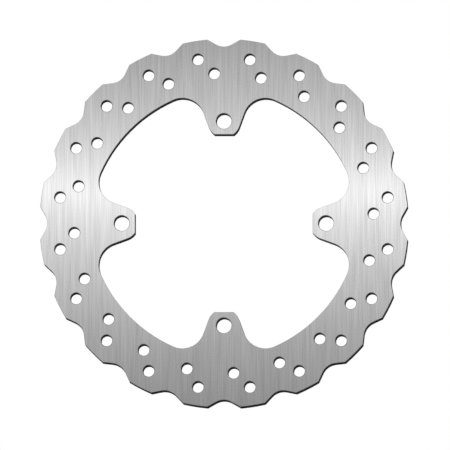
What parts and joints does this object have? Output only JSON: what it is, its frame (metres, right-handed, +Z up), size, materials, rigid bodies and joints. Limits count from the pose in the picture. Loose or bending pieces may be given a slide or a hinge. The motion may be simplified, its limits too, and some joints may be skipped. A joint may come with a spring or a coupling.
{
  "type": "brake disc",
  "caption": "Flat one-piece motorcycle brake disc with a wavy outer edge, rows of vent holes in its band, and inward legs with hub bolt holes.",
  "frame": {"origin": "centre of the disc, halfway through its thickness", "axes": "+Y along the disc's axis from its outer face to its hub face, +Z up, and one leg on each of +X, -X, +Z and -Z. The disc stands upright and its outer face looks along -Y"},
  "size_m": [0.239, 0.004, 0.239],
  "materials": {
    "ground_stainless": "brushed"
  },
  "bodies": {
    "root": {"brake_disc": "ground_stainless"}
  },
  "joints": []
}
